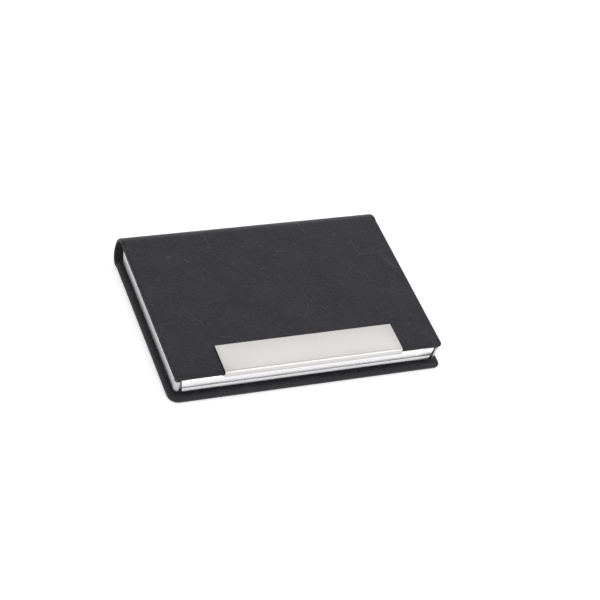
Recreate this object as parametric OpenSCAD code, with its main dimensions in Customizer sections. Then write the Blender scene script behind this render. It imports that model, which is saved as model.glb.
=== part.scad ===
// Book-style business card case: leather-wrapped covers and spine, a steel card tray and a magnetic lid.
// X runs along the long side, the lid opens at -Y, the spine is at +Y and the case rests on Z = 0.
// The origin is the bottom centre of the closed case. All sizes are in millimetres.

/* [Case] */
// Width of the base cover, along the long side
base_w = 98; // [96:0.5:102]
// Width of the lid cover
lid_w = 96; // [96:0.5:97]
// Depth from the base cover's front edge to the back of the spine
case_d = 69.6; // [68:0.2:74]
// Height from the table to the top of the lid's leather
case_h = 11.2; // [10.8:0.2:14]
// How far the lid's front edge lies behind the base cover's
lid_setback = 1.6; // [1.2:0.1:2.4]

/* [Covers] */
// Thickness of the base cover, board and leather together
base_t = 2.8; // [2.6:0.1:3.2]
// Thickness of the lid cover, board and leather together
lid_t = 2.0; // [1.9:0.1:2.4]
// Thickness of the leather
leather_t = 0.6; // [0.4:0.05:0.6]
// Corner radius of the base cover, seen from above
base_corner_r = 3; // [1.8:0.2:4]
// Corner radius of the lid cover, seen from above
lid_corner_r = 1.4; // [1.2:0.2:3]
// How far each board stays inside its cover's outline
board_inset = 0.8; // [0.7:0.05:0.9]
// Width of the leather turned in over the boards
turn_in = 10; // [8:1:12]

/* [Spine] */
// Thickness of the lining strip inside the spine
lining_t = 0.6; // [0.4:0.05:0.6]
// How far the lining strip reaches over each board
lining_reach = 5; // [4:0.5:7]
// How far the lining strip stays inside the lid's side edges
lining_inset = 1; // [1:0.5:2]
// Gap between neighbouring staves of the spine
stave_gap = 0.1; // [0.06:0.02:0.2]

/* [Steel] */
// Thickness of the steel sheet
sheet_t = 0.4; // [0.3:0.05:0.4]
// Outer width of the card tray at its rim
tray_w = 95.6; // [94:0.2:95.6]
// How far the tray's side walls lean in towards its floor, in degrees
tray_draft = 7; // [5:1:9]
// Height of the tray's rim above the table
tray_top = 8.5; // [8:0.1:8.5]
// Outer radius of the tray's upright corners
tray_corner_r = 1.6; // [1.4:0.1:2]
// Outer radius of the pressed edge round the tray's floor
tray_floor_r = 1.4; // [1.2:0.1:1.6]
// Width of the tray's inward lips, which keep the cards in
lip_w = 2.2; // [1.5:0.1:3]
// Gap between the flange and the tray's front wall
flange_gap = 0.6; // [0.5:0.05:0.8]
// How far the flange stays behind the lid's front edge
flange_setback = 0.5; // [0.4:0.05:0.8]
// Width of the flange at its bend
flange_w = 90.8; // [88:0.2:91]
// How far each end of the flange tapers in towards its lower edge
flange_taper = 0.8; // [0.2:0.1:1.4]
// Gap between each end of the flange and the tray's corner beside it
corner_gap = 0.55; // [0.4:0.05:0.6]
// Height of the flange's lower edge above the table
flange_bottom = 3.8; // [3.5:0.1:4.2]
// Height of the crease along the flange
crease_z = 5.3; // [5:0.1:6]
// How far the flange flares forward below its crease
flange_flare = 0.12; // [0.02:0.02:0.2]
// Outer radius of the bend between lid plate and flange
flange_bend_r = 0.8; // [0.6:0.1:1]

/* [Nameplate] */
// Width of the nameplate
plate_w = 63.7; // [40:0.1:70]
// How far the nameplate's middle lies to the right of the case's middle
plate_offset = 0.65; // [-2:0.05:2]
// Depth of the nameplate from its front lip to its rear edge
plate_d = 11.9; // [8:0.1:20]
// Height of the lip's lower edge above the lid cover's underside
plate_lip_rise = 0.2; // [0.1:0.1:1]
// Outer radius of the nameplate's rolled front edge
plate_bend_r = 0.9; // [0.7:0.1:1]
// Thickness of the adhesive film under the nameplate
film_t = 0.1; // [0.05:0.05:0.15]

/* [Magnets] */
// Depth of the plastic magnet carrier behind the tray's front wall
carrier_d = 4; // [3.5:0.1:5]
// Length of each magnet
magnet_w = 18; // [10:1:24]
// Depth of each magnet
magnet_d = 2.4; // [1.5:0.1:2.8]
// Height of each magnet
magnet_h = 3; // [2:0.1:3]
// Distance of each magnet's middle from the case's middle
magnet_x = 28; // [22:1:32]
// Width of the thumb notch in the tray's front wall
notch_w = 20; // [16:1:24]

/* [Hidden] */
$fn = 64;

LEATHER_COLOUR = [0.16, 0.15, 0.17];
LINING_COLOUR = [0.09, 0.09, 0.10];
BOARD_COLOUR = [0.62, 0.55, 0.44];
ADHESIVE_COLOUR = [0.90, 0.88, 0.80];
STEEL_COLOUR = [0.82, 0.82, 0.83];
NAMEPLATE_COLOUR = [0.86, 0.85, 0.82];
CARRIER_COLOUR = [0.07, 0.07, 0.07];
MAGNET_COLOUR = [0.75, 0.75, 0.77];

// Overlap that makes a cut run clear through a face
CUT = 1;

// The spine is half a tube as high as the case. Its bend starts at the covers' rear edges.
spine_r = case_h / 2;
spine_y = case_d / 2 - spine_r;
base_front = -case_d / 2;
lid_front = base_front + lid_setback;
lid_bottom = case_h - lid_t;
lining_w = lid_w - 2 * lining_inset;

// Each cover keeps the first and last part of the bend, and the staves share the rest. The lid turns by
// one stave's arc at each hinge line, so each cover's part is half as long as a stave's.
STAVES = 2;
STAVE_ARC = 180 / (STAVES + 1);
COVER_ARC = STAVE_ARC / 2;
ARC_STEPS = 12;
// Half the gap between two staves, as an angle at the outer surface
half_gap = stave_gap / 2 / spine_r * 180 / PI;

plate_z = lid_bottom - sheet_t;
flange_front = lid_front + flange_setback;
// The tray's front corners are level with the flange, and its front wall lies behind the flange.
corner_front = flange_front;
tray_front = flange_front + sheet_t + flange_gap;
recess_half = flange_w / 2 + corner_gap;
// Width of the slot that parts each corner from the front wall, and depth of the lid plate's relief cuts
slot_w = 1.1;
relief_d = 1.2;
tray_back = spine_y - 1;
carrier_back = tray_front + sheet_t + carrier_d;
carrier_top = tray_top - sheet_t;
// Thickness of plastic left over the magnets, under the tray's rim
magnet_cover = 0.3;
notch_floor = base_t + sheet_t + 1;

// The nameplate's lip stands in front of the lid's edge, and its flat lies on the film.
plate_front = lid_front - film_t - sheet_t;
plate_bottom = case_h + film_t;

// Draws a side profile in (Y, Z) and extrudes it along X, centred on the case.
module along_x(width) {
    rotate([90, 0, 90]) linear_extrude(width, center = true) children();
}

// A rectangle from (x0, y0) to (x1, y1) with its two front corners rounded.
module front_rounded(x0, x1, y0, y1, r) {
    union() {
        translate([x0, y0 + r]) square([x1 - x0, y1 - y0 - r]);
        translate([x0 + r, y0]) square([x1 - x0 - 2 * r, r + CUT]);
        for (x = [x0 + r, x1 - r]) translate([x, y0 + r]) circle(r);
    }
}

// A rectangle with all four corners rounded.
module all_rounded(x0, x1, y0, y1, r) {
    union() {
        translate([x0, y0 + r]) square([x1 - x0, y1 - y0 - 2 * r]);
        translate([x0 + r, y0]) square([x1 - x0 - 2 * r, y1 - y0]);
        for (x = [x0 + r, x1 - r], y = [y0 + r, y1 - r]) translate([x, y]) circle(r);
    }
}

// A cover: rounded corners seen from above, half-round edges at its front and sides, square at the spine.
module cover_slab(w, front, z0, t, corner_r) {
    r = t / 2;
    depth = spine_y - front;
    intersection() {
        translate([0, 0, z0]) linear_extrude(t) front_rounded(-w / 2, w / 2, front, spine_y, corner_r);
        translate([0, spine_y + CUT, z0 + r]) rotate([90, 0, 0])
            linear_extrude(depth + 2 * CUT) union() {
                square([w - t, t], center = true);
                for (side = [-1, 1]) translate([side * (w / 2 - r), 0]) circle(r);
            }
        along_x(w + CUT) union() {
            translate([front + r, z0]) square([depth + CUT, t]);
            translate([front + r, z0 + r]) circle(r);
        }
    }
}

// The same outline as its cover, drawn in by inset, for a board.
module board_slab(w, front, z0, t, corner_r) {
    translate([0, 0, z0]) linear_extrude(t)
        front_rounded(-w / 2 + board_inset, w / 2 - board_inset, front + board_inset,
                      spine_y - lining_t, corner_r - board_inset);
}

// The window inside the turned-in leather, which the adhesive sheet fills.
module turn_in_window(w, front, z0, t) {
    back = spine_y - lining_reach;
    translate([-w / 2 + turn_in, front + turn_in, z0])
        cube([w - 2 * turn_in, back - front - turn_in, t]);
}

// Points of an arc round the spine's middle line, from angle a0 to a1.
function spine_arc(r, a0, a1) = [
    for (i = [0 : ARC_STEPS]) let (a = a0 + (a1 - a0) * i / ARC_STEPS)
        [spine_y + r * cos(a), spine_r + r * sin(a)]
];

// One strip of the spine's bend, between two radii and two angles.
module spine_strip(w, r_out, r_in, a0, a1) {
    along_x(w) polygon(concat(spine_arc(r_out, a0, a1), spine_arc(r_in, a1, a0)));
}

// Leather and lining of stave n, counted from the base. The stave narrows with the case towards the lid.
function stave_start(n) = -90 + COVER_ARC + (n - 1) * STAVE_ARC + half_gap;
function stave_end(n) = stave_start(n) + STAVE_ARC - 2 * half_gap;
function stave_w(n) = base_w + (lid_w - base_w) * n / (STAVES + 1);

module spine_leather(n) {
    color(LEATHER_COLOUR)
        spine_strip(stave_w(n), spine_r, spine_r - leather_t, stave_start(n), stave_end(n));
}

module spine_lining(n) {
    color(LINING_COLOUR)
        spine_strip(lining_w, spine_r - leather_t, spine_r - leather_t - lining_t,
                    stave_start(n), stave_end(n));
}

module spine_leather_1() { spine_leather(1); }
module spine_leather_2() { spine_leather(2); }
module spine_lining_1() { spine_lining(1); }
module spine_lining_2() { spine_lining(2); }

module base_leather() {
    top_layer = base_t - leather_t;
    color(LEATHER_COLOUR) union() {
        difference() {
            cover_slab(base_w, base_front, 0, base_t, base_corner_r);
            board_slab(base_w, base_front, leather_t, top_layer - leather_t, base_corner_r);
            turn_in_window(base_w, base_front, top_layer, leather_t + CUT);
            translate([-lining_w / 2, spine_y - lining_reach, top_layer])
                cube([lining_w, lining_reach + CUT, leather_t + CUT]);
            translate([-lining_w / 2, spine_y - lining_t, leather_t])
                cube([lining_w, lining_t + CUT, base_t]);
        }
        spine_strip(base_w, spine_r, spine_r - leather_t, -90, -90 + COVER_ARC - half_gap);
    }
}

module base_board() {
    color(BOARD_COLOUR)
        board_slab(base_w, base_front, leather_t, base_t - 2 * leather_t, base_corner_r);
}

module base_lining() {
    top_layer = base_t - leather_t;
    color(LINING_COLOUR) union() {
        along_x(lining_w) union() {
            translate([spine_y - lining_reach, top_layer]) square([lining_reach, lining_t]);
            translate([spine_y - lining_t, leather_t]) square([lining_t, top_layer - leather_t + lining_t]);
        }
        spine_strip(lining_w, spine_r - leather_t, spine_r - leather_t - lining_t,
                    -90, -90 + COVER_ARC - half_gap);
    }
}

module tray_adhesive() {
    color(ADHESIVE_COLOUR) turn_in_window(base_w, base_front, base_t - leather_t, leather_t);
}

// The recess along the tray's front, which takes the flange. It grows with inset.
module front_recess(inset) {
    half_w = recess_half + inset;
    translate([-half_w, corner_front - CUT, 0])
        cube([2 * half_w, tray_front - corner_front + inset + CUT, case_h]);
}

// The outline of a pan seen from above, extruded along one leaning side wall. side is -1 or 1.
module leaning_outline(side, half_w, front, back, r) {
    far = 3 * half_w;
    translate([side * half_w, 0, tray_top]) rotate([0, side * tray_draft, 0])
        linear_extrude(far, center = true)
            all_rounded(side < 0 ? 0 : -far, side < 0 ? far : 0, front, back, r);
}

// Right half of a pan seen from the front, as points: floor, rounded lower edge and leaning wall.
function half_profile(half_w, floor_z, r, rim) = let (
    lean = sin(tray_draft),
    wall = half_w * cos(tray_draft) - tray_top * lean,
    z = floor_z + r,
    x = (wall - r + lean * z) / cos(tray_draft)
) concat(
    [for (i = [0 : ARC_STEPS]) let (a = -90 + (90 - tray_draft) * i / ARC_STEPS)
        [x + r * cos(a), z + r * sin(a)]],
    [[(wall + lean * rim) / cos(tray_draft), rim]]
);

// A solid pan as high as rim, with leaning sides, rounded corners and a rounded edge round its floor. It is
// drawn in by inset on all sides.
module pan(inset, rim) {
    half_w = tray_w / 2 - inset / cos(tray_draft);
    front = corner_front + inset;
    back = tray_back - inset;
    floor_z = base_t + inset;
    r = tray_floor_r - inset;
    right = half_profile(half_w, floor_z, r, rim);
    left = [for (i = [len(right) - 1 : -1 : 0]) [-right[i][0], right[i][1]]];
    difference() {
        intersection() {
            leaning_outline(-1, half_w, front, back, tray_corner_r - inset);
            leaning_outline(1, half_w, front, back, tray_corner_r - inset);
            translate([0, back + CUT, 0]) rotate([90, 0, 0]) linear_extrude(back - front + 2 * CUT)
                polygon(concat(right, left));
            along_x(tray_w + 2 * CUT) all_rounded(front, back, floor_z, rim + 2 * r, r);
        }
        front_recess(inset);
    }
}

// Slots through the front wall, one beside each corner.
module corner_slots() {
    bottom = base_t + sheet_t + tray_floor_r;
    for (side = [-1, 1])
        translate([side * (recess_half - slot_w / 2) - slot_w / 2, tray_front - CUT, bottom])
            cube([slot_w, sheet_t + 2 * CUT, tray_top - sheet_t - bottom]);
}

// The opening in the tray's rim, which is turned in over the cards at both sides and over the magnets in front.
module rim_opening() {
    half_w = tray_w / 2 - sheet_t - lip_w;
    translate([-half_w, carrier_back, tray_top - sheet_t - CUT])
        cube([2 * half_w, tray_back - carrier_back - sheet_t, sheet_t + 2 * CUT]);
}

module thumb_notch() {
    translate([-notch_w / 2, tray_front - CUT, notch_floor])
        cube([notch_w, carrier_d + sheet_t + CUT, tray_top]);
}

module card_tray() {
    color(STEEL_COLOUR) difference() {
        pan(0, tray_top);
        pan(sheet_t, tray_top - sheet_t);
        rim_opening();
        thumb_notch();
        corner_slots();
    }
}

module magnet_carrier() {
    front = tray_front + sheet_t;
    half_w = recess_half - slot_w;
    bottom = base_t + sheet_t + tray_floor_r;
    color(CARRIER_COLOUR) difference() {
        union() {
            translate([-half_w, front, bottom]) cube([2 * half_w, carrier_d, carrier_top - bottom]);
            translate([-half_w, front + tray_floor_r, base_t + sheet_t])
                cube([2 * half_w, carrier_d - tray_floor_r, carrier_top - base_t - sheet_t]);
        }
        thumb_notch();
        magnet_blocks();
    }
}

module magnet_blocks() {
    bottom = carrier_top - magnet_cover - magnet_h;
    for (side = [-1, 1])
        translate([side * magnet_x - magnet_w / 2, tray_front + sheet_t, bottom])
            cube([magnet_w, magnet_d, magnet_h]);
}

module magnets() {
    color(MAGNET_COLOUR) magnet_blocks();
}

module lid_leather() {
    board_z = lid_bottom + leather_t;
    color(LEATHER_COLOUR) union() {
        difference() {
            cover_slab(lid_w, lid_front, lid_bottom, lid_t, lid_corner_r);
            board_slab(lid_w, lid_front, board_z, lid_t - 2 * leather_t, lid_corner_r);
            turn_in_window(lid_w, lid_front, lid_bottom - CUT, leather_t + CUT);
            translate([-lining_w / 2, spine_y - lining_reach, lid_bottom - CUT])
                cube([lining_w, lining_reach + CUT, leather_t + CUT]);
            translate([-lining_w / 2, spine_y - lining_t, lid_bottom - CUT])
                cube([lining_w, lining_t + CUT, lid_t - leather_t + CUT]);
        }
        spine_strip(lid_w, spine_r, spine_r - leather_t, 90 - COVER_ARC + half_gap, 90);
    }
}

module lid_board() {
    color(BOARD_COLOUR)
        board_slab(lid_w, lid_front, lid_bottom + leather_t, lid_t - 2 * leather_t, lid_corner_r);
}

module lid_lining() {
    top = case_h - leather_t;
    under = lid_bottom + leather_t;
    color(LINING_COLOUR) union() {
        along_x(lining_w) union() {
            translate([spine_y - lining_reach, under - lining_t]) square([lining_reach, lining_t]);
            translate([spine_y - lining_t, under - lining_t]) square([lining_t, top - under + lining_t]);
        }
        spine_strip(lining_w, spine_r - leather_t, spine_r - leather_t - lining_t,
                    90 - COVER_ARC + half_gap, 90);
    }
}

module lid_adhesive() {
    color(ADHESIVE_COLOUR) turn_in_window(lid_w, lid_front, lid_bottom, leather_t);
}

// Points of a quarter bend round (y, z), from straight up to straight forward.
function quarter_bend(y, z, r) = [
    for (i = [0 : ARC_STEPS]) let (a = 90 + 90 * i / ARC_STEPS) [y + r * cos(a), z + r * sin(a)]
];

// Side profile of the lid plate's front: the bend, the flange and its crease.
function flange_profile() = let (
    y = flange_front + flange_bend_r,
    z = lid_bottom - flange_bend_r,
    outer = quarter_bend(y, z, flange_bend_r),
    inner = quarter_bend(y, z, flange_bend_r - sheet_t),
    inner_back = [for (i = [ARC_STEPS : -1 : 0]) inner[i]]
) concat(
    [[y + 2, lid_bottom]], outer,
    [[flange_front, crease_z], [flange_front - flange_flare, flange_bottom],
     [flange_front - flange_flare + sheet_t, flange_bottom], [flange_front + sheet_t, crease_z]],
    inner_back, [[y + 2, plate_z]]
);

// Everything between the flange's two tapered ends.
module flange_ends() {
    half_w = flange_w / 2;
    bend_z = lid_bottom - flange_bend_r;
    slope = flange_taper / (bend_z - flange_bottom);
    low_half_w = half_w - flange_taper - CUT * slope;
    rotate([90, 0, 0]) linear_extrude(-2 * flange_front) polygon([
        [-half_w, lid_bottom + CUT], [-half_w, bend_z], [-low_half_w, flange_bottom - CUT],
        [low_half_w, flange_bottom - CUT], [half_w, bend_z], [half_w, lid_bottom + CUT]
    ]);
}

module lid_plate() {
    side_front = flange_front + flange_bend_r;
    color(STEEL_COLOUR) union() {
        translate([0, 0, plate_z]) linear_extrude(sheet_t) difference() {
            all_rounded(-tray_w / 2, tray_w / 2, side_front, tray_back, tray_corner_r);
            for (x = [-recess_half, flange_w / 2])
                translate([x, side_front - CUT]) square([corner_gap, relief_d + CUT]);
        }
        intersection() {
            along_x(flange_w) polygon(flange_profile());
            flange_ends();
        }
    }
}

// Side profile of the nameplate: a flat top, a rolled front edge and a lip over the leather's edge.
function nameplate_profile() = let (
    y = plate_front + plate_bend_r,
    z = plate_bottom + sheet_t - plate_bend_r,
    outer = quarter_bend(y, z, plate_bend_r),
    inner = quarter_bend(y, z, plate_bend_r - sheet_t),
    inner_back = [for (i = [ARC_STEPS : -1 : 0]) inner[i]],
    lip_end = lid_bottom + plate_lip_rise,
    back = plate_front + plate_d
) concat(
    [[back, plate_bottom + sheet_t]], outer, [[plate_front, lip_end], [plate_front + sheet_t, lip_end]],
    inner_back, [[back, plate_bottom]]
);

module nameplate() {
    color(NAMEPLATE_COLOUR)
        translate([plate_offset, 0, 0]) along_x(plate_w) polygon(nameplate_profile());
}

module nameplate_adhesive() {
    margin = 1;
    front = lid_front + lid_t / 2;
    back = plate_front + plate_d - margin;
    color(ADHESIVE_COLOUR)
        translate([plate_offset - plate_w / 2 + margin, front, case_h])
            cube([plate_w - 2 * margin, back - front, film_t]);
}

base_leather();
base_board();
base_lining();
tray_adhesive();
card_tray();
magnet_carrier();
magnets();
spine_leather_1();
spine_leather_2();
spine_lining_1();
spine_lining_2();
lid_leather();
lid_board();
lid_lining();
lid_adhesive();
lid_plate();
nameplate_adhesive();
nameplate();
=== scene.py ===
"""Looks for the business card case: leather wrap, steel tray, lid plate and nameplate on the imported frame.

Everything is in metres in the frame's own axes: X runs along the case, the lid opens at -Y, Z is up.
"""

from collections import namedtuple
import math

import bmesh
import bpy
from mathutils import Matrix, Vector, noise


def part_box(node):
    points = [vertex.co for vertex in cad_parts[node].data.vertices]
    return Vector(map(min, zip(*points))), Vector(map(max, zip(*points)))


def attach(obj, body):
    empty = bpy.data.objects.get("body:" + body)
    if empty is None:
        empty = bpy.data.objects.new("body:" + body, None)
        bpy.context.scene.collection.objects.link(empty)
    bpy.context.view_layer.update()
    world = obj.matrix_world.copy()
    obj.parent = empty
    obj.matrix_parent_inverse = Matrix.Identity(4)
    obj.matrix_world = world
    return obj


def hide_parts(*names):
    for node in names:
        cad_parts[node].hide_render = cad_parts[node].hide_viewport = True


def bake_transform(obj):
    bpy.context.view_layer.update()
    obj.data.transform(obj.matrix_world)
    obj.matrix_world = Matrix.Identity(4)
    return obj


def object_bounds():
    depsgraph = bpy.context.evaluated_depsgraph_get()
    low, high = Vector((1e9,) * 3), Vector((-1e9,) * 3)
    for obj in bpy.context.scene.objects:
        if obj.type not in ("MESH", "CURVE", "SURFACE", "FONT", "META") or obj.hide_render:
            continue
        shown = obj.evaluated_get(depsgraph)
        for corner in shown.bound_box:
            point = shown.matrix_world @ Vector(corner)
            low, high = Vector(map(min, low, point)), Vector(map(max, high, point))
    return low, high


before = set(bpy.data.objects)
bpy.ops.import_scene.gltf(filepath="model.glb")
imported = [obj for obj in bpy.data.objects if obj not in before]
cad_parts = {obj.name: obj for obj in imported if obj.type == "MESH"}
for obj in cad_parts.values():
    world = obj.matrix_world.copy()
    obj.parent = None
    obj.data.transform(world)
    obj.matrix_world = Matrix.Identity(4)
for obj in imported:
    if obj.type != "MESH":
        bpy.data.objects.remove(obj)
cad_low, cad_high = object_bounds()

MM = 0.001
# Without a seed, the noise's offsets would come from the clock
noise.seed_set(1)

# ---------------------------------------------------------------- sizes from the frame

base_low, base_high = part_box("base_leather")
lid_low, lid_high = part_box("lid_leather")
tray_low, tray_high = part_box("card_tray")
plate_low, plate_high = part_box("lid_plate")
name_low, name_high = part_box("nameplate")
lining_low, lining_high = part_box("base_lining")
carrier_low, carrier_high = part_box("magnet_carrier")

BASE_W = base_high.x - base_low.x
BASE_T = base_high.z
LID_W = lid_high.x - lid_low.x
LID_T = lid_high.z - lid_low.z
CASE_H = lid_high.z
SPINE_R = CASE_H / 2
SPINE_Y = cad_high.y - SPINE_R

# ---------------------------------------------------------------- sizes that no box shows

LEATHER_T = 0.6 * MM
TURN_IN = 10 * MM
# Radii of the left and the right front corner. The base's left corner is worn rounder than its right one.
BASE_CORNERS = (3.8 * MM, 1.8 * MM)
LID_CORNERS = (1.4 * MM, 1.4 * MM)
# Leather and its turned-in edge where no board stiffens it
SPINE_T = 1.3 * MM
# The covers thin down to that over this distance before the spine's bend
BOARD_END = 0.6 * MM
# How much the spine narrows on each side at both ends of its bend, where no board holds the leather out
SPINE_WAIST = 0.4 * MM

SHEET_T = 0.4 * MM
TRAY_CORNER_R = 1.6 * MM
TRAY_FLOOR_R = 1.4 * MM
# The tray's side walls lean in towards its floor
TRAY_DRAFT = math.radians(7)
FLANGE_HALF = 45.4 * MM
CORNER_GAP = 0.55 * MM
# The tray's front wall lies this far behind its two front corners
RECESS_D = 1.0 * MM
RECESS_HALF = FLANGE_HALF + CORNER_GAP

# ---------------------------------------------------------------- mesh helpers

# Points closer than this are one
LEATHER_WELD = 0.0005 * MM
STEEL_WELD = 0.001 * MM
# Edges sharper than this, in degrees, are shaded sharp
LEATHER_SHARP = 50
STEEL_SHARP = 30
TRAY_SHARP = 35


def object_from(mesh, name):
    data = bpy.data.meshes.new(name)
    mesh.to_mesh(data)
    mesh.free()
    made = bpy.data.objects.new(name, data)
    bpy.context.scene.collection.objects.link(made)
    return made


class Sheet:
    """A surface made of grids of points, welded where they meet. A point may carry its place in the
    unwrapped leather, so that the grain runs on from piece to piece, and its share of the half-round edge,
    which the leather material paints darker as shade."""

    def __init__(self):
        self.mesh = bmesh.new()
        self.grain = self.mesh.verts.layers.float_vector.new("grain")
        self.edge = self.mesh.verts.layers.float.new("edge")

    def vert(self, point, grain=(0, 0, 0), edge=0.0):
        made = self.mesh.verts.new(point)
        made[self.grain] = grain
        made[self.edge] = edge
        return made

    def grid(self, rows):
        """Rows of (point, grain, edge), joined by quads."""
        made = [[self.vert(*p) for p in row] for row in rows]
        for first, second in zip(made, made[1:]):
            for i in range(len(first) - 1):
                self.mesh.faces.new((first[i], first[i + 1], second[i + 1], second[i]))

    def weld(self, distance=LEATHER_WELD):
        bmesh.ops.remove_doubles(self.mesh, verts=self.mesh.verts, dist=distance)
        bmesh.ops.dissolve_degenerate(self.mesh, edges=self.mesh.edges, dist=distance)

    def face_out(self, inside):
        """Makes the faces look away from inside(point), a point behind the surface."""
        bmesh.ops.recalc_face_normals(self.mesh, faces=self.mesh.faces)
        outwards = 0.0
        for face in self.mesh.faces:
            centre = face.calc_center_median()
            outwards += face.calc_area() * face.normal.dot(centre - inside(centre))
        if outwards < 0:
            bmesh.ops.reverse_faces(self.mesh, faces=self.mesh.faces)

    def to_object(self, name):
        return object_from(self.mesh, name)


def add_modifier(obj, kind, **settings):
    modifier = obj.modifiers.new(kind.lower(), kind)
    for key, value in settings.items():
        setattr(modifier, key, value)


def add_bevel(obj, width, angle=45):
    """Breaks the edges sharper than the angle."""
    add_modifier(obj, "BEVEL", width=width, segments=2, limit_method="ANGLE",
                 angle_limit=math.radians(angle), use_clamp_overlap=True)


def bake_modifiers(obj):
    """Applies every modifier, so that the mesh is final."""
    shown = obj.evaluated_get(bpy.context.evaluated_depsgraph_get())
    data = bpy.data.meshes.new_from_object(shown)
    obj.modifiers.clear()
    old, obj.data = obj.data, data
    name = old.name
    bpy.data.meshes.remove(old)
    data.name = name


def smooth(obj, angle):
    """Smooth shading, with edges sharper than the angle left sharp."""
    obj.data.shade_smooth()
    obj.data.set_sharp_from_angle(angle=math.radians(angle))


def thicken(obj, thickness, bevel=0.0, offset=-1, angle=STEEL_SHARP):
    """Gives a sheet its thickness, and breaks its rim's sharp edges if bevel is set. The thickness lies
    behind its face, or in front of it with an offset of 1."""
    add_modifier(obj, "SOLIDIFY", thickness=thickness, offset=offset, use_even_offset=True)
    if bevel:
        add_bevel(obj, bevel)
    bake_modifiers(obj)
    smooth(obj, angle)


def lerp(a, b, t):
    return a + (b - a) * t


def ease(t):
    """A smooth step from 0 to 1."""
    t = min(1.0, max(0.0, t))
    return t * t * (3 - 2 * t)


def steps(first, last, spacing):
    """Evenly spaced values from first to last, about spacing apart."""
    count = max(1, round(abs(last - first) / spacing))
    return [lerp(first, last, i / count) for i in range(count + 1)]


# ---------------------------------------------------------------- leather surface

WRINKLE_DEPTH = 0.08 * MM
# Size of the patches between the creases, along the case and along the wrap
PATCH_U = 7 * MM
PATCH_V = 11 * MM
# Counted in patches: how far the creases wander, how often, and how wide they are
WANDER = 0.35
WANDER_SCALE = 1.7
CREASE_WIDTH = 0.12
# The creases fade out in places, and the surface swells slowly between them
FADE_SCALE = 0.9
FADE_CONTRAST = 1.6
FADE_PLACE = Vector((5, 2, 8))
SWELL_SCALE = 1.3
SWELL_PLACE = Vector((1, 7, 3))
# Shares of the depth
CREASE_SHARE = 0.55
SWELL_SHARE = 0.45


def wrinkle(u, v):
    """How far the leather lies below its highest level at unwrapped place (u, v)."""
    p = Vector((u / PATCH_U, v / PATCH_V, 0))
    p += WANDER * noise.noise_vector(p * WANDER_SCALE)
    distances = noise.voronoi(p)[0]
    crease = math.exp(-(((distances[1] - distances[0]) / CREASE_WIDTH) ** 2))
    shown = ease(noise.noise(p * FADE_SCALE + FADE_PLACE) * FADE_CONTRAST + 0.5)
    swell = 0.5 + 0.5 * noise.noise(p * SWELL_SCALE + SWELL_PLACE)
    return WRINKLE_DEPTH * (CREASE_SHARE * crease * shown + SWELL_SHARE * swell)


def lay(y, z, inward, x, depth, grain, edge):
    """A point of the wrap. It lies below the outer surface at (y, z) by its depth, or where that is 0, by
    its wrinkle."""
    if depth == 0:
        depth = wrinkle(grain[0], grain[1])
    return (Vector((x, y + inward[0] * depth, z + inward[1] * depth)), grain, edge)


# ---------------------------------------------------------------- the spine's bend

# The bend is one piece per hinge, from the middle of one stave to the middle of the next.
CHAIN = ["base", "spine_1", "spine_2", "lid"]
HINGES = len(CHAIN) - 1
BEND_ARC = 180 / HINGES
SPINE_ROWS = 24
# Rows close to a piece's ends, so that neighbouring pieces shade alike
END_ROW = 0.01


def spine_point(angle, depth=0.0):
    """Point (y, z) of the bend at that angle and depth, and the direction in."""
    c, s = math.cos(math.radians(angle)), math.sin(math.radians(angle))
    r = SPINE_R - depth
    return SPINE_Y + r * c, SPINE_R + r * s, (-c, -s)


def beside_spine(point, depth=0.0):
    """The point of the bend nearest to a point, at that depth."""
    angle = math.degrees(math.atan2(point.z - SPINE_R, point.y - SPINE_Y))
    return Vector((point.x, *spine_point(angle, depth)[:2]))


def spine_width(angle):
    narrower = 2 * SPINE_WAIST * math.cos(math.radians(angle)) ** 2
    return lerp(BASE_W, LID_W, ease((angle + 90) / 180)) - narrower


def spine_way(angle):
    """Unwrapped place along the leather. It runs on from the base, where it is y."""
    return SPINE_Y + math.radians(angle + 90) * SPINE_R


def bend_angles(n):
    first = -90 + BEND_ARC * n
    shares = [0, END_ROW] + [i / SPINE_ROWS for i in range(1, SPINE_ROWS)] + [1 - END_ROW, 1]
    return [first + BEND_ARC * share for share in shares]


def blend_over_hinge(obj):
    """Bakes the placement of a piece of the spine into its mesh."""
    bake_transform(obj)


# ---------------------------------------------------------------- leather wrap

EDGE_STEPS = 10
CORNER_STEPS = 10
# Inset at which the covers' outer faces turn from a plain grid into rings round the edge
FLAT_INSET = 4 * MM
FLAT_RINGS = 4
CELLS_ACROSS = 184
ROW_SPACING = 0.5 * MM
# Rows over the last stretch before the bend, as shares of BOARD_END
BOARD_END_ROWS = (0, 0.02, 0.2, 0.35, 0.5, 0.65, 0.8, 0.98)

# A cover, for its wrap and its lining. up is +1 if its inside lies above its outer face at outer_z, and
# way_at(y) is the unwrapped place along the leather of its row at y.
Cover = namedtuple("Cover", "front width thickness corners outer_z up way_at")
BASE = Cover(base_low.y, BASE_W, BASE_T, BASE_CORNERS, 0.0, 1, lambda y: y)
LID = Cover(lid_low.y, LID_W, LID_T, LID_CORNERS, CASE_H, -1, lambda y: spine_way(90) + SPINE_Y - y)


def edge_rings(thickness, reach):
    """(inset, depth, way) of the rings round a cover, from its outer face over the half-round edge to the
    end of the turned-in leather. Depth is measured in from the outer face, and way along the leather."""
    r = thickness / 2
    start = FLAT_INSET - r
    rings = [(lerp(FLAT_INSET, r, k / FLAT_RINGS), 0, start * k / FLAT_RINGS) for k in range(FLAT_RINGS)]
    for k in range(EDGE_STEPS + 1):
        a = math.pi * k / EDGE_STEPS
        rings.append((r - r * math.sin(a), r - r * math.cos(a), start + r * a))
    way = start + math.pi * r
    rings.append((FLAT_INSET, thickness, way + start))
    rings.append((reach, thickness, way + reach - r))
    return rings


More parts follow.
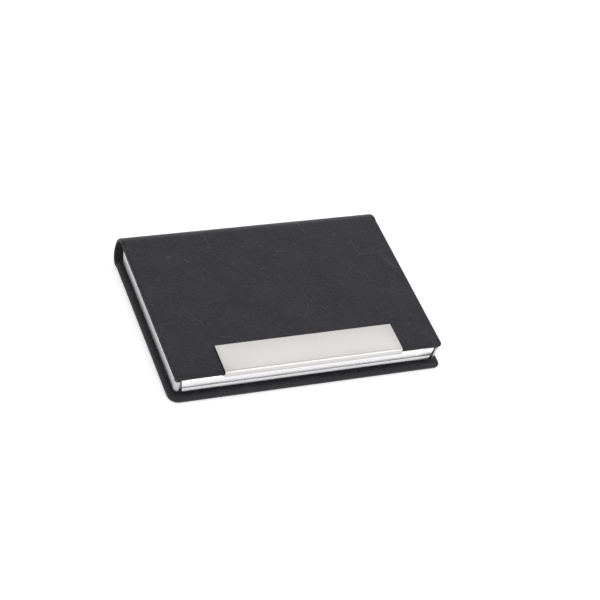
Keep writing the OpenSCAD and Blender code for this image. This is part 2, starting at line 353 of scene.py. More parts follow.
def edge_share(inset, thickness):
    """1 on the outermost line of the half-round edge, 0 on the flat faces."""
    r = thickness / 2
    return ease(1 - inset / r) if inset < r else 0.0


def cross_section(width, thickness, v):
    """One line of points (x, depth, grain, edge) across the wrap, from the end of the left turned-in edge
    to the end of the right one."""
    half = width / 2
    side = [(inset, depth, way, edge_share(inset, thickness))
            for inset, depth, way in edge_rings(thickness, TURN_IN)]
    left = [(-half + inset, depth, (-half + FLAT_INSET - way, v, 0), edge)
            for inset, depth, way, edge in reversed(side)]
    flat = [lerp(-half + FLAT_INSET, half - FLAT_INSET, i / CELLS_ACROSS) for i in range(1, CELLS_ACROSS)]
    middle = [(x, 0, (x, v, 0), 0) for x in flat]
    right = [(-x, depth, (-grain[0], v, 0), edge) for x, depth, grain, edge in reversed(left)]
    return left + middle + right


def rows_behind_corners(cover):
    """A cover's rows across, from the spine to its front corners. The end of the turned-in leather stops
    short of the last row, on the corner's mitre."""
    inward = (0, cover.up)
    rows = []
    for share in BOARD_END_ROWS:
        y = SPINE_Y - BOARD_END * share
        thickness = lerp(SPINE_T, cover.thickness, ease(share))
        section = cross_section(cover.width, thickness, cover.way_at(y))
        rows.append([lay(y, cover.outer_z, inward, *p) for p in section])
    flat = steps(SPINE_Y - BOARD_END, cover.front + FLAT_INSET, ROW_SPACING)
    for y in flat:
        row = []
        for x, depth, grain, edge in cross_section(cover.width, cover.thickness, cover.way_at(y)):
            inset = cover.width / 2 - abs(x)
            moved = y
            if depth == cover.thickness and inset > FLAT_INSET:
                share = (y - flat[-1]) / (flat[0] - flat[-1])
                moved = lerp(cover.front + inset, flat[0], share)
            row.append(lay(moved, cover.outer_z, inward, x, depth, grain, edge))
        rows.append(row)
    return rows


def ring_point(cover, x, y, depth, u, v, inset):
    """A point of the rings round a cover. The outer face lies in by its wrinkle at (x, y)."""
    below = depth or wrinkle(x, cover.way_at(y))
    return lay(y, cover.outer_z, (0, cover.up), x, below, (u, v, 0), edge_share(inset, cover.thickness))


def front_edge(cover):
    """The rings' stretch along a cover's front, between the corners."""
    half = cover.width / 2
    start = cover.way_at(cover.front + FLAT_INSET)
    across = [lerp(-1, 1, i / CELLS_ACROSS) for i in range(CELLS_ACROSS + 1)]
    rows = []
    for inset, depth, way in edge_rings(cover.thickness, TURN_IN):
        y = cover.front + inset
        v = start - cover.up * way
        reach = half - max(inset, FLAT_INSET)
        rows.append([ring_point(cover, a * reach, y, depth, a * (half - FLAT_INSET), v, inset)
                     for a in across])
    return rows


def corner_ring(half, front, inset, corner_r):
    """Points (x, y, a) of the ring at an inset round the right front corner, from the side to the front. The
    ring keeps the corner's centre until its radius runs out, and a is the angle it looks along."""
    if inset >= FLAT_INSET:
        return [(half - inset, front + inset, 0.0)] * (CORNER_STEPS + 3)
    r = max(corner_r - inset, 0.0)
    x0, y0 = half - inset - r, front + inset + r
    angles = [math.radians(90 * k / CORNER_STEPS) for k in range(CORNER_STEPS + 1)]
    bend = [(x0 + r * math.cos(a), y0 - r * math.sin(a), a) for a in angles]
    return ([(half - inset, front + FLAT_INSET, 0.0)] + bend
            + [(half - FLAT_INSET, front + inset, math.radians(90))])


def front_corner(cover, side, corner_r):
    """The rings' stretch round a front corner: rounded in plan, and folded to a mitre on the inner side."""
    half = cover.width / 2
    start = cover.way_at(cover.front + FLAT_INSET)
    rows = []
    for inset, depth, way in edge_rings(cover.thickness, TURN_IN):
        row = []
        for x, y, a in corner_ring(half, cover.front, inset, corner_r):
            u = side * (half - FLAT_INSET + way * math.cos(a))
            v = start - cover.up * way * math.sin(a)
            row.append(ring_point(cover, side * x, y, depth, u, v, inset))
        rows.append(row)
    return rows


def wrap_cover(name, cover):
    """A cover's wrap: its outer face, half-round edges and turned-in leather."""
    sheet = Sheet()
    sheet.grid(rows_behind_corners(cover))
    sheet.grid(front_edge(cover))
    for side, corner_r in zip((-1, 1), cover.corners):
        sheet.grid(front_corner(cover, side, corner_r))
    sheet.weld()
    sheet.face_out(lambda p: Vector((p.x, p.y, cover.outer_z + cover.up * cover.thickness / 2)))
    wrap = sheet.to_object(name)
    thicken(wrap, LEATHER_T, angle=LEATHER_SHARP)
    return wrap


def make_base_wrap():
    wrap = wrap_cover("base_wrap", BASE)
    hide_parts("base_leather")
    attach(wrap, "base")
    return wrap


def make_lid_wrap():
    wrap = wrap_cover("lid_wrap", LID)
    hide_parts("lid_leather")
    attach(wrap, "lid")
    return wrap


def make_spine_skin(n):
    sheet = Sheet()
    rows = []
    for angle in bend_angles(n):
        y, z, inward = spine_point(angle)
        section = cross_section(spine_width(angle), SPINE_T, spine_way(angle))
        rows.append([lay(y, z, inward, *p) for p in section])
    sheet.grid(rows)
    sheet.weld()
    sheet.face_out(lambda p: beside_spine(p, SPINE_T / 2))
    skin = sheet.to_object(f"spine_skin_{n + 1}")
    thicken(skin, LEATHER_T, angle=LEATHER_SHARP)
    blend_over_hinge(skin)
    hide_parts(f"spine_leather_{min(n + 1, HINGES - 1)}")
    return skin


# ---------------------------------------------------------------- lining inside the spine

LINING_T = 0.35 * MM
LINING_HALF = lining_high.x
LINING_CELLS = 60
LINING_ROW_SPACING = 1 * MM
LINING_END_ROWS = 8
# The lining climbs over the turned-in leather's edge within this distance
LINING_CLIMB = 2 * MM
# Gap under the lining, and how far it is pressed into a cover
LINING_GAP = 0.02 * MM
LINING_SINK = 0.1 * MM


def lining_depth(x, over):
    """Depth of the lining's glued face. It climbs over the ends of the turned-in leather, which lies at the
    depth over."""
    climb = ease((abs(x) - (LID_W / 2 - TURN_IN - LINING_CLIMB / 2)) / LINING_CLIMB)
    return lerp(over - LEATHER_T, over, climb) + LINING_GAP


def lining_row(y, z, inward, over, v):
    row = []
    for i in range(LINING_CELLS + 1):
        x = lerp(-LINING_HALF, LINING_HALF, i / LINING_CELLS)
        depth = lining_depth(x, over)
        row.append((Vector((x, y + inward[0] * depth, z + inward[1] * depth)), (x, v, 0), 0))
    return row


def lining_from(rows, name, outside):
    """A lining whose face looks into the case, away from outside(point)."""
    sheet = Sheet()
    sheet.grid(rows)
    sheet.weld()
    sheet.face_out(outside)
    lining = sheet.to_object(name)
    thicken(lining, LINING_T, offset=1, angle=LEATHER_SHARP)
    return lining


def make_cover_lining(name, node, body, cover):
    """The lining from its end under the steel, over the board's edge and down to the bend."""
    on_board = cover.thickness - LINING_SINK
    places = [(y, on_board) for y in steps(lining_low.y, SPINE_Y - BOARD_END, LINING_ROW_SPACING)]
    for k in range(1, LINING_END_ROWS + 1):
        share = k / LINING_END_ROWS
        places.append((SPINE_Y - BOARD_END * (1 - share), lerp(on_board, SPINE_T, ease(share))))
    rows = [lining_row(y, cover.outer_z, (0, cover.up), over, cover.way_at(y)) for y, over in places]
    lining = lining_from(rows, name, lambda p: Vector((p.x, p.y, cover.outer_z)))
    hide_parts(node)
    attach(lining, body)
    return lining


def make_spine_lining(n):
    rows = []
    for angle in bend_angles(n):
        y, z, inward = spine_point(angle)
        rows.append(lining_row(y, z, inward, SPINE_T, spine_way(angle)))
    lining = lining_from(rows, f"spine_strip_{n + 1}", beside_spine)
    blend_over_hinge(lining)
    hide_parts(f"spine_lining_{min(n + 1, HINGES - 1)}")
    return lining


# ---------------------------------------------------------------- steel tray

ARC_POINTS = 8
SIDE_POINTS = 8
FRONT_POINTS = 30
FILLET_STEPS = 8
RIM_STEPS = 3
LIP_STEPS = 4
# The rounding of the rim's outer edge
RIM_R = 0.25 * MM
# Smallest radius of the outline's corners, and smallest distance from the recess's ends to the sides
LEAST_CORNER_R = 0.3 * MM
LEAST_CORNER_W = 0.1 * MM
# Lips turned in over the cards at the sides and the back, and the opening's corners
SIDE_LIP = 2.6 * MM
BACK_LIP = 0.9 * MM
OPENING_R = 1.2 * MM
# The thumb notch: half its width, its lower corners' radius, and its lower edge's height above the floor
NOTCH_HALF = 10 * MM
NOTCH_R = 3 * MM
NOTCH_SILL = 1 * MM
# The slots beside the front corners: half their width, their lower corners' radius, and their gaps to the
# recess's ends and to the rim's underside
SLOT_HALF = 0.52 * MM
SLOT_R = 0.2 * MM
SLOT_SIDE_GAP = 0.03 * MM
SLOT_TOP_GAP = 0.06 * MM
# Cuts start this far behind the front corners. The notch's cut ends this far past the rim and the carrier.
CUT_START = 0.2 * MM
CUT_PAST = 1 * MM
TRAY_BEVEL = 0.05 * MM
TRAY_BEVEL_ANGLE = 50


def arc(cx, cy, r, start, end, count=ARC_POINTS):
    angles = [math.radians(lerp(start, end, k / count)) for k in range(count + 1)]
    return [(cx + r * math.cos(a), cy + r * math.sin(a)) for a in angles]


def between(first, last, count=SIDE_POINTS):
    shares = [k / count for k in range(1, count)]
    return [(lerp(first[0], last[0], share), lerp(first[1], last[1], share)) for share in shares]


def rounded_ring(x0, x1, y0, y1, r, z, recess=None):
    """Points round a rectangle with rounded corners, the same number for every size. recess is None, or the
    half width of a recess along the front and the y of its wall."""
    half, wall = recess or ((x1 - x0) / 2 - r, y0)
    reach = math.degrees(math.acos(min(1, max(0, (half - (x1 - r)) / r))))
    back_right = arc(x1 - r, y1 - r, r, 0, 90)
    back_left = arc(x0 + r, y1 - r, r, 90, 180)
    front_left = arc(x0 + r, y0 + r, r, 180, 180 + reach)
    front_right = arc(x1 - r, y0 + r, r, 360 - reach, 360)
    front = [(-half, front_left[-1][1]), (-half, wall)]
    front += between((-half, wall), (half, wall), FRONT_POINTS)
    front += [(half, wall), (half, front_right[0][1])]
    ring = back_right + between(back_right[-1], back_left[0]) + back_left
    ring += between(back_left[-1], front_left[0]) + front_left + front + front_right
    ring += between(front_right[-1], back_right[0])
    return [Vector((x, y, z)) for x, y in ring]


def loft(mesh, rings):
    """Closed rings joined by quads, with a face over the first and last."""
    made = [[mesh.verts.new(p) for p in ring] for ring in rings]
    for first, second in zip(made, made[1:]):
        for i in range(len(first)):
            j = (i + 1) % len(first)
            mesh.faces.new((first[i], first[j], second[j], second[i]))
    mesh.faces.new(made[0])
    mesh.faces.new(made[-1])
    bmesh.ops.remove_doubles(mesh, verts=mesh.verts, dist=STEEL_WELD)
    bmesh.ops.recalc_face_normals(mesh, faces=mesh.faces)


def wall_x(z, inset=0.0):
    """Half width of the leaning side walls at a height."""
    return tray_high.x - inset / math.cos(TRAY_DRAFT) - (tray_high.z - z) * math.tan(TRAY_DRAFT)


def tray_outline(x1, y_inset, z, wall_t):
    r = max(TRAY_CORNER_R - y_inset, LEAST_CORNER_R)
    recess = (min(RECESS_HALF + wall_t, x1 - LEAST_CORNER_W), tray_low.y + RECESS_D + wall_t)
    return rounded_ring(-x1, x1, tray_low.y + y_inset, tray_high.y - y_inset, r, z, recess)


def tray_ring(inset, z, wall_t=0.0, drawn_in=0.0):
    """The tray's outline at a height. inset counts from the outside of the walls, drawn_in is the rounding
    at the rim, and wall_t is how far the recess for the flange grows."""
    return tray_outline(wall_x(z, inset) - drawn_in, inset + drawn_in, z, wall_t)


def floor_rings(inset, wall_t):
    """Rings from the floor up round the pan's lower edge, as far as the foot of the walls."""
    r = TRAY_FLOOR_R - inset
    z0 = tray_low.z + TRAY_FLOOR_R
    centre_x = wall_x(z0, inset + r)
    rings = []
    for k in range(FILLET_STEPS + 1):
        a = math.radians(90) * (1 - k / FILLET_STEPS)
        z = z0 - r * math.sin(a)
        x1 = centre_x + r * math.cos(a) if a > TRAY_DRAFT else wall_x(z, inset)
        rings.append(tray_outline(x1, inset + r * (1 - math.cos(a)), z, wall_t))
    return rings


def lip_ring(inset, z):
    """The opening inside the tray's turned-in rim: narrow at the sides and back, deep over the magnets."""
    x1 = tray_high.x - SIDE_LIP - inset
    back = tray_high.y - BACK_LIP - inset
    return rounded_ring(-x1, x1, carrier_high.y + inset, back, OPENING_R, z)


def tray_mesh():
    """The pan: outside wall and floor, the rim turned in over the cards, and back down the inside."""
    top = tray_high.z
    rings = floor_rings(0, 0)
    for k in range(RIM_STEPS + 1):
        a = math.radians(90 * k / RIM_STEPS)
        rings.append(tray_ring(0, top - RIM_R * (1 - math.sin(a)), 0, RIM_R * (1 - math.cos(a))))
    half = SHEET_T / 2
    for k in range(LIP_STEPS + 1):
        a = math.radians(180 * k / LIP_STEPS)
        rings.append(lip_ring(-half * math.sin(a), top - half + half * math.cos(a)))
    rings.append(tray_ring(SHEET_T, top - SHEET_T, SHEET_T, RIM_R))
    rings.append(tray_ring(SHEET_T, top - SHEET_T - RIM_R, SHEET_T))
    rings += reversed(floor_rings(SHEET_T, SHEET_T))
    mesh = bmesh.new()
    loft(mesh, rings)
    return mesh


def cut_through_front(obj, x, half, bottom, top, r, y1):
    """Cuts a slot with rounded lower corners through the tray's front, as far back as y1."""
    outline = [(x - half, top), (x + half, top)]
    outline += arc(x + half - r, bottom + r, r, 0, -90) + arc(x - half + r, bottom + r, r, -90, -180)
    mesh = bmesh.new()
    loft(mesh, [[Vector((px, y, pz)) for px, pz in outline] for y in (tray_low.y + CUT_START, y1)])
    cutter = object_from(mesh, "cutter")
    add_modifier(obj, "BOOLEAN", object=cutter, operation="DIFFERENCE", solver="EXACT")
    bake_modifiers(obj)
    bpy.data.objects.remove(cutter)


def make_tray():
    tray = object_from(tray_mesh(), "tray_pan")
    cut_through_front(tray, 0, NOTCH_HALF, tray_low.z + SHEET_T + NOTCH_SILL, tray_high.z + CUT_PAST,
                      NOTCH_R, carrier_high.y + CUT_PAST)
    slot_x = RECESS_HALF - SLOT_HALF - SLOT_SIDE_GAP
    for side in (-1, 1):
        cut_through_front(tray, side * slot_x, SLOT_HALF, tray_low.z + TRAY_FLOOR_R + SHEET_T,
                          tray_high.z - SHEET_T - SLOT_TOP_GAP, SLOT_R, carrier_low.y)
    add_bevel(tray, TRAY_BEVEL, TRAY_BEVEL_ANGLE)
    bake_modifiers(tray)
    smooth(tray, TRAY_SHARP)
    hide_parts("card_tray")
    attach(tray, "base")
    return tray


# ---------------------------------------------------------------- lid plate and nameplate

COLUMN_SPACING = 5 * MM
BEND_STEPS = 8
FLANGE_BEND_R = 0.8 * MM
# How far the flange's lower edge stands in front of its face, and how much each of its ends tapers
FLANGE_FLARE = 0.12 * MM
FLANGE_TAPER = 0.8 * MM
# The pressed crease along the flange: its height, half the width of its floor, half its whole width, its
# depth, and how far the face just below it stands in front of the face above
CREASE_Z = 5.3 * MM
CREASE_FLOOR = 0.08 * MM
CREASE_HALF = 0.25 * MM
CREASE_DEPTH = 0.06 * MM
CREASE_STEP = 0.01 * MM
RELIEF_D = 1.2 * MM
PLATE_BEVEL = 0.07 * MM
NAME_BEND_R = 0.9 * MM
NAME_BEVEL = 0.1 * MM
# Far behind a plate's outer faces
FAR = 50 * MM


def bend_profile(front, top, r, tail):
    """Outer line (y, z) of a sheet that runs forward along the top, turns down and ends in the tail."""
    line = []
    for k in range(BEND_STEPS + 1):
        a = math.radians(90 + 90 * k / BEND_STEPS)
        line.append((front + r + r * math.cos(a), top - r + r * math.sin(a)))
    return line + tail


def flange_rows(front, top, columns):
    """The flange with its bend, crease and flare, narrower towards its lower edge."""
    tail = [(front, CREASE_Z + CREASE_HALF), (front + CREASE_DEPTH, CREASE_Z + CREASE_FLOOR),
            (front + CREASE_DEPTH, CREASE_Z - CREASE_FLOOR), (front - CREASE_STEP, CREASE_Z - CREASE_HALF),
            (front - FLANGE_FLARE, plate_low.z)]
    foot = top - FLANGE_BEND_R
    rows = []
    for y, z in bend_profile(front, top, FLANGE_BEND_R, tail):
        share = max(0.0, (foot - z) / (foot - plate_low.z))
        narrower = 1 - FLANGE_TAPER * share / FLANGE_HALF
        rows.append([(Vector((x * narrower, y, z)), (x, y, 0), 0) for x in columns])
    return rows


def plate_outline(side_front, columns):
    """(x, y) round the flat of the plate. A relief cut parts each end of the flange from its corner."""
    r = TRAY_CORNER_R
    right, back = plate_high.x, plate_high.y
    reach = math.degrees(math.acos((RECESS_HALF - (right - r)) / r))
    relief_back = side_front + RELIEF_D
    outline = arc(right - r, back - r, r, 0, 90) + arc(r - right, back - r, r, 90, 180)
    outline += arc(r - right, side_front + r, r, 180, 180 + reach)
    outline += [(-RECESS_HALF, relief_back), (-FLANGE_HALF, relief_back)]
    outline += [(x, side_front) for x in columns]
    outline += [(FLANGE_HALF, relief_back), (RECESS_HALF, relief_back)]
    return outline + arc(right - r, side_front + r, r, -reach, 0)


def make_lid_plate():
    """The flat of the plate, and the flange folded down from its front edge."""
    front, top = plate_low.y + FLANGE_FLARE, lid_low.z
    columns = steps(-FLANGE_HALF, FLANGE_HALF, COLUMN_SPACING)
    sheet = Sheet()
    sheet.grid(flange_rows(front, top, columns))
    outline = plate_outline(front + FLANGE_BEND_R, columns)
    sheet.mesh.faces.new([sheet.vert(Vector((x, y, top))) for x, y in outline])
    sheet.weld(STEEL_WELD)
    sheet.face_out(lambda p: Vector((p.x, p.y + FAR, top - FAR)))
    plate = sheet.to_object("lid_plate_steel")
    thicken(plate, SHEET_T, bevel=PLATE_BEVEL)
    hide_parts("lid_plate")
    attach(plate, "lid")
    return plate


def make_nameplate():
    tail = [(name_low.y, name_low.z)]
    profile = [(name_high.y, name_high.z)] + bend_profile(name_low.y, name_high.z, NAME_BEND_R, tail)
    columns = steps(name_low.x, name_high.x, COLUMN_SPACING)
    sheet = Sheet()
    sheet.grid([[(Vector((x, y, z)), (x, y, 0), 0) for x in columns] for y, z in profile])
    sheet.face_out(lambda p: Vector((p.x, p.y + MM, name_low.z - FAR)))
    plate = sheet.to_object("nameplate_steel")
    thicken(plate, SHEET_T, bevel=NAME_BEVEL)
    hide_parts("nameplate")
    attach(plate, "lid")
    return plate


# ---------------------------------------------------------------- materials

# Scale from metres to millimetres, so that a texture's scale counts its features in a millimetre
PER_MM = (1000, 1000, 1000)
# Noise levels between which a mottled surface goes from dark to light
MOTTLE_LEVELS = (0.3, 0.7)


class Graph:
    """Builds one material's nodes. A value that is a socket is linked, and any other is set."""

    def __init__(self, name):
        self.material = bpy.data.materials.new(name)
        self.material.use_nodes = True
        self.tree = self.material.node_tree
        self.shader = self.tree.nodes["Principled BSDF"]

    def add(self, kind, inputs=None, **settings):
        made = self.tree.nodes.new("ShaderNode" + kind)
        for key, value in settings.items():
            setattr(made, key, value)
        for key, value in (inputs or {}).items():
            self.put(made, key, value)
        return made

    def put(self, made, key, value):
        if isinstance(value, bpy.types.NodeSocket):
            self.tree.links.new(value, made.inputs[key])
        else:
            made.inputs[key].default_value = value

    def set(self, **inputs):
        for key, value in inputs.items():
            self.put(self.shader, key.replace("_", " "), value)

    def grain(self):
        """Place in the unwrapped leather, in millimetres."""
        return self.scaled(self.add("Attribute", attribute_name="grain").outputs["Vector"], PER_MM)

    def place(self):
        """Place in the object's own axes, in millimetres."""
        return self.scaled(self.add("TexCoord").outputs["Object"], PER_MM)

    def scaled(self, vector, scale):
        return self.add("Mapping", {"Vector": vector, "Scale": scale}).outputs["Vector"]

    def noise(self, vector, scale, detail=2.0, roughness=0.5, output="Fac"):
        """Noise with detail as its number of finer layers, and roughness as their weight."""
        inputs = {"Vector": vector, "Scale": scale, "Detail": detail, "Roughness": roughness}
        return self.add("TexNoise", inputs).outputs[output]

    def cracks(self, vector, scale, width):
        """1 on the lines between cells, falling to 0 over width of a cell."""
        edge = self.add("TexVoronoi", {"Vector": vector, "Scale": scale}, feature="DISTANCE_TO_EDGE")
        return self.ramp(edge.outputs["Distance"], 0, width, 1, 0)

    def ramp(self, value, low, high, to_low, to_high):
        inputs = {"Value": value, "From Min": low, "From Max": high, "To Min": to_low, "To Max": to_high}
        return self.add("MapRange", inputs, interpolation_type="SMOOTHSTEP").outputs["Result"]

    def math(self, operation, *values):
        return self.add("Math", dict(enumerate(values)), operation=operation).outputs["Value"]

    def weighted(self, first, share, second, rest):
        """first * share + second * rest."""
        return self.math("ADD", self.math("MULTIPLY", first, share), self.math("MULTIPLY", second, rest))

    def mix(self, share, first, second):
        inputs = {"Fac": share}
        for key, value in (("Color1", first), ("Color2", second)):
            inputs[key] = value if isinstance(value, bpy.types.NodeSocket) else (*value, 1)
        return self.add("MixRGB", inputs).outputs["Color"]

    def bump(self, height, distance, strength=1.0):
        inputs = {"Height": height, "Distance": distance, "Strength": strength}
        return self.add("Bump", inputs).outputs["Normal"]


LEATHER_DARK = (0.0120, 0.0108, 0.0160)
LEATHER_LIGHT = (0.0170, 0.0155, 0.0215)
LEATHER_CREASE_HIGHLIGHT = (0.040, 0.038, 0.047)
LEATHER_EDGE_SHADE = (0.008, 0.008, 0.009)
# How far the lines between the cells wander, in millimetres, and how often
LEATHER_WANDER = (3.5, 3.5, 0.0)
LEATHER_WANDER_SCALE = 0.25
# Long creases run mostly along the case's depth. Scales count cells or spots in a millimetre, and widths are
# shares of a cell.
LONG_STRETCH = (1, 0.35, 1)
LONG_SCALE = 0.17
LONG_WIDTH = 0.03
SMALL_STRETCH = (1, 0.8, 1)
SMALL_SCALE = 0.95
SMALL_WIDTH = 0.14
# Noise levels between which the creases come in, and what is left of the small ones outside their patches
LONG_PATCH_SCALE = 0.14
LONG_PATCHES = (0.44, 0.56)
SMALL_PATCH_SCALE = 0.22
SMALL_PATCHES = (0.4, 0.62)
SMALL_LEAST = 0.35
PEBBLE_SCALE = 1.5
PORE_SCALE = 4.5
CLOUD_SCALE = 0.09
# Heights against a long crease's, and how far the painted highlight on the creases and the painted shade on
# the half-round edges colour the leather
SMALL_HEIGHT = 0.7
PEBBLE_HEIGHT = 0.9
PORE_HEIGHT = 0.25
CREASE_HIGHLIGHT_SHARE = 0.55
EDGE_SHADE_SHARE = 0.6
LEATHER_BUMP = 0.17 * MM
LEATHER_ROUGH = 0.40
PEBBLE_ROUGH = 0.16
LEATHER_SPECULAR = 0.24


def leather_material():
    """Charcoal imitation leather: a fine pebble, a net of small wrinkles and a few long creases. The creases
    are painted lighter as a highlight along their ridges, and the half-round edges darker as shade.
    """
    g = Graph("charcoal_leather")
    grain = g.grain()
    edge = g.add("Attribute", attribute_name="edge").outputs["Fac"]
    wander = g.noise(grain, LEATHER_WANDER_SCALE, 4.0, 0.55, output="Color")
    shifted = g.add("VectorMath", {0: wander, 1: LEATHER_WANDER, 2: grain}, operation="MULTIPLY_ADD")
    bent = shifted.outputs["Vector"]

    # Long creases, broken up and only here and there
    long = g.cracks(g.scaled(bent, LONG_STRETCH), LONG_SCALE, LONG_WIDTH)
    patches = g.ramp(g.noise(grain, LONG_PATCH_SCALE), *LONG_PATCHES, 0, 1)
    long = g.math("MULTIPLY", long, patches)
    # Fine wrinkles all over, fainter in patches
    small = g.cracks(g.scaled(bent, SMALL_STRETCH), SMALL_SCALE, SMALL_WIDTH)
    patches = g.ramp(g.noise(grain, SMALL_PATCH_SCALE), *SMALL_PATCHES, SMALL_LEAST, 1)
    small = g.math("MULTIPLY", small, patches)
    pebble = g.noise(grain, PEBBLE_SCALE, 4, 0.65)
    pores = g.noise(grain, PORE_SCALE)
    creases = g.math("MAXIMUM", long, g.math("MULTIPLY", small, SMALL_HEIGHT))

    height = g.math("ADD", creases, g.math("MULTIPLY", pebble, PEBBLE_HEIGHT))
    height = g.math("ADD", height, g.math("MULTIPLY", pores, PORE_HEIGHT))
    cloud = g.ramp(g.noise(grain, CLOUD_SCALE, 3), *MOTTLE_LEVELS, 0, 1)
    colour = g.mix(cloud, LEATHER_DARK, LEATHER_LIGHT)
    # Painted highlight: the creases are coloured lighter along their ridges
    colour = g.mix(g.math("MULTIPLY", creases, CREASE_HIGHLIGHT_SHARE), colour, LEATHER_CREASE_HIGHLIGHT)
    # Painted shade: the half-round edges are coloured darker
    colour = g.mix(g.math("MULTIPLY", edge, EDGE_SHADE_SHARE), colour, LEATHER_EDGE_SHADE)
    rough = g.math("MULTIPLY_ADD", pebble, PEBBLE_ROUGH, LEATHER_ROUGH)
    g.set(Base_Color=colour, Roughness=rough, Normal=g.bump(height, LEATHER_BUMP),
          Specular_IOR_Level=LEATHER_SPECULAR)
    return g.material


def lining_material():
    """Black woven lining."""
    g = Graph("black_lining")
    weave = g.noise(g.scaled(g.grain(), (1, 2.2, 1)), 2.6, 3, 0.6)
    colour = g.mix(weave, (0.010, 0.010, 0.011), (0.022, 0.022, 0.024))
    g.set(Base_Color=colour, Roughness=0.75, Normal=g.bump(weave, 0.05 * MM, 0.6))
    return g.material


# Brush marks are long along X and narrow across it
FINE_BRUSH = (0.04, 5, 5)
FINE_SCALE = 1.6
FINE_SHARE = 0.6
BROAD_BRUSH = (0.02, 1.1, 1.1)
BROAD_SCALE = 1.0
BROAD_SHARE = 0.4
# Scuffs come in between these noise levels, and share the roughness with the brush marks
SCUFF_SCALE = 0.12
SCUFF_LEVELS = (0.35, 0.75)
SCUFF_SHARE = 0.2
STREAK_SHARE = 0.8
ROUGH_LEVELS = (0.2, 0.8)
# Shades of the steel's colour: in its streaks, and below a height, where it is painted darker as shade from
# the dark leather it faces
STREAK_SHADE = 0.86
PAINTED_SHADE_TONE = 0.66
# The painted shade comes in within this distance, in millimetres
PAINTED_SHADE_BLEND = 0.2


def darker(colour, shade):
    return tuple(c * shade for c in colour)


def steel_material(name, colour, rough, streak_depth, painted_shade_below=None):
    """Stainless steel, finely brushed along X, with faint scuffs. rough is its least and greatest roughness.
    Below the height given by its last argument, its colour is painted darker as shade."""
    g = Graph(name)
    place = g.place()
    fine = g.noise(g.scaled(place, FINE_BRUSH), FINE_SCALE, 3, 0.65)
    broad = g.noise(g.scaled(place, BROAD_BRUSH), BROAD_SCALE)
    scuffs = g.ramp(g.noise(place, SCUFF_SCALE, 4, 0.6), *SCUFF_LEVELS, 0, 1)
    streak = g.weighted(fine, FINE_SHARE, broad, BROAD_SHARE)
    shade = g.mix(streak, darker(colour, STREAK_SHADE), colour)
    if painted_shade_below is not None:
        # Painted shade: the colour darkens below the height
        height = g.add("SeparateXYZ", {"Vector": place}).outputs["Z"]
        below = g.ramp(height, painted_shade_below / MM - PAINTED_SHADE_BLEND, painted_shade_below / MM, 1, 0)
        shade = g.mix(below, shade, darker(colour, PAINTED_SHADE_TONE))
    worn = g.ramp(g.weighted(streak, STREAK_SHARE, scuffs, SCUFF_SHARE), *ROUGH_LEVELS, *rough)
    g.set(Base_Color=shade, Metallic=1.0, Roughness=worn, Normal=g.bump(streak, streak_depth, 0.5))
    return g.material


def plain_material(name, dark, light, rough, scale, depth):
    """A moulded, pressed or coated surface: mottled colour and a fine bump."""
    g = Graph(name)
    mottle = g.noise(g.place(), scale, 5, 0.6)
    colour = g.mix(g.ramp(mottle, *MOTTLE_LEVELS, 0, 1), dark, light)
    g.set(Base_Color=colour, Roughness=rough, Normal=g.bump(mottle, depth, 0.5))
    return g.material


def paint(obj, material):
    obj.data.materials.clear()
    obj.data.materials.append(material)


# ---------------------------------------------------------------- studio

# The floor is a translucent table lit from below, which keeps the case's shadow faint
FLOOR_SIZE = 3.0
FLOOR_GLOW = 0.4
FLOOR_DARK = (0.86, 0.86, 0.86)
FLOOR_LIGHT = (0.88, 0.88, 0.88)
# The sky's strength low down and overhead, and the heights between which it changes
SKY_LOW = 1.05
SKY_TOP = 0.75
SKY_BAND = (0.7, 0.95)
# Name, place, size and power of each light. They all point at the case.
LIGHTS = [("back_softbox", (0.5, 0.8, 0.95), (0.9, 0.5), 1.0),
          ("front_fill", (0.45, -0.9, 0.75), (0.8, 0.5), 4.0)]

# The camera looks down on the left front corner, tilted, from a little over half a metre. Angles in degrees.
CAMERA_AZIMUTH = -31.00
CAMERA_ELEVATION = 44.32
CAMERA_ROLL = 16.04
CAMERA_DISTANCE = 0.5896
CAMERA_AIM = Vector((0, 0.8 * MM, 0))
CAMERA_LENS = 102.36
CAMERA_SENSOR = 36
CAMERA_SHIFT = (0.0450, 0.0168)
CAMERA_CLIP = (0.01, 20)


def make_floor():
    mesh = bmesh.new()
    bmesh.ops.create_grid(mesh, x_segments=4, y_segments=4, size=FLOOR_SIZE)
    floor = object_from(mesh, "floor")
    g = Graph("pale_floor")
    mottle = g.noise(g.add("TexCoord").outputs["Object"], 3)
    g.set(Base_Color=g.mix(mottle, FLOOR_DARK, FLOOR_LIGHT), Roughness=0.9, Specular_IOR_Level=0.1,
          Emission_Color=(1, 1, 1, 1), Emission_Strength=FLOOR_GLOW)
    paint(floor, g.material)


def make_light(name, place, size, power):
    data = bpy.data.lights.new(name, "AREA")
    data.shape = "RECTANGLE"
    data.size, data.size_y = size
    data.energy = power
    light = bpy.data.objects.new(name, data)
    light.location = place
    light.rotation_euler = Vector(place).to_track_quat("Z", "Y").to_euler()
    light.visible_camera = False
    bpy.context.scene.collection.objects.link(light)


def make_sky():
    """A white sky, darker overhead than near the horizon."""
    world = bpy.data.worlds.new("studio")
    bpy.context.scene.world = world
    world.use_nodes = True
    nodes, links = world.node_tree.nodes, world.node_tree.links
    place = nodes.new("ShaderNodeTexCoord")
    split = nodes.new("ShaderNodeSeparateXYZ")
    links.new(place.outputs["Generated"], split.inputs["Vector"])
    level = nodes.new("ShaderNodeMapRange")
    level.interpolation_type = "SMOOTHSTEP"
    links.new(split.outputs["Z"], level.inputs["Value"])
    for key, value in zip(("From Min", "From Max", "To Min", "To Max"), (*SKY_BAND, SKY_LOW, SKY_TOP)):
        level.inputs[key].default_value = value
    links.new(level.outputs["Result"], nodes["Background"].inputs["Strength"])
    nodes["Background"].inputs["Color"].default_value = (1, 1, 1, 1)


def make_studio():
    make_sky()
    make_floor()
    for light in LIGHTS:
        make_light(*light)
    bpy.context.scene.view_settings.view_transform = "Standard"


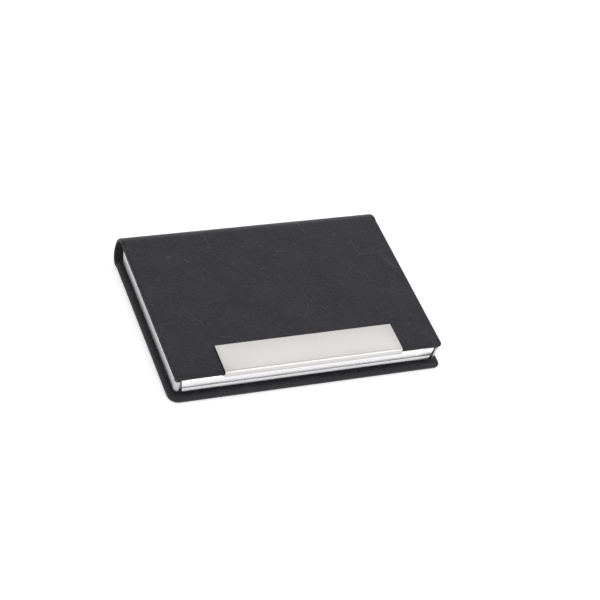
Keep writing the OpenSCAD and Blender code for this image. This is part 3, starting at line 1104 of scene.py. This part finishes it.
def make_camera():
    azimuth, elevation, roll = (math.radians(a) for a in (CAMERA_AZIMUTH, CAMERA_ELEVATION, CAMERA_ROLL))
    back = Vector((math.sin(azimuth) * math.cos(elevation), -math.cos(azimuth) * math.cos(elevation),
                   math.sin(elevation)))
    right = Vector((math.cos(azimuth), math.sin(azimuth), 0))
    level = Matrix((right, back.cross(right), back)).transposed().to_4x4()
    data = bpy.data.cameras.new("camera")
    data.lens = CAMERA_LENS
    data.sensor_width = CAMERA_SENSOR
    data.shift_x, data.shift_y = CAMERA_SHIFT
    data.clip_start, data.clip_end = CAMERA_CLIP
    camera = bpy.data.objects.new("camera", data)
    place = Matrix.Translation(CAMERA_AIM + back * CAMERA_DISTANCE)
    camera.matrix_world = place @ level @ Matrix.Rotation(roll, 4, "Z")
    bpy.context.scene.collection.objects.link(camera)
    bpy.context.scene.camera = camera


# ---------------------------------------------------------------- everything in place

make_camera()
make_studio()

leather = leather_material()
lining = lining_material()
steel = steel_material("bright_steel", (0.84, 0.84, 0.85), rough=(0.2, 0.36), streak_depth=0.01 * MM,
                       painted_shade_below=CREASE_Z)
# The tray's steel is a darker copy of the lid plate's steel: painted shade for the tray under the lid
shaded_tray_steel = steel_material("shaded_tray_steel", (0.48, 0.475, 0.495), rough=(0.26, 0.4), streak_depth=0.01 * MM)
satin = steel_material("satin_steel", (0.615, 0.60, 0.585), rough=(0.36, 0.46), streak_depth=0.004 * MM)
board = plain_material("grey_board", (0.30, 0.25, 0.19), (0.42, 0.36, 0.28),
                       rough=0.9, scale=1.2, depth=0.05 * MM)
adhesive = plain_material("pale_adhesive", (0.62, 0.58, 0.48), (0.74, 0.71, 0.62),
                          rough=0.6, scale=0.6, depth=0.03 * MM)
plastic = plain_material("black_plastic", (0.012, 0.012, 0.013), (0.022, 0.022, 0.024),
                         rough=0.45, scale=4.0, depth=0.01 * MM)
nickel = steel_material("nickel_plate", (0.62, 0.61, 0.60), rough=(0.14, 0.26), streak_depth=0.004 * MM)

for piece in [make_base_wrap(), make_lid_wrap()] + [make_spine_skin(n) for n in range(HINGES)]:
    paint(piece, leather)
base_strip = make_cover_lining("base_strip", "base_lining", "base", BASE)
lid_strip = make_cover_lining("lid_strip", "lid_lining", "lid", LID)
for piece in [base_strip, lid_strip] + [make_spine_lining(n) for n in range(HINGES)]:
    paint(piece, lining)
paint(make_tray(), shaded_tray_steel)
paint(make_lid_plate(), steel)
paint(make_nameplate(), satin)

# Pieces hidden in the closed case keep the CAD's shape
KEPT = {"base_board": board, "lid_board": board, "tray_adhesive": adhesive, "lid_adhesive": adhesive,
        "nameplate_adhesive": adhesive, "magnet_carrier": plastic, "magnets": nickel}
for node, material in KEPT.items():
    paint(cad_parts[node], material)
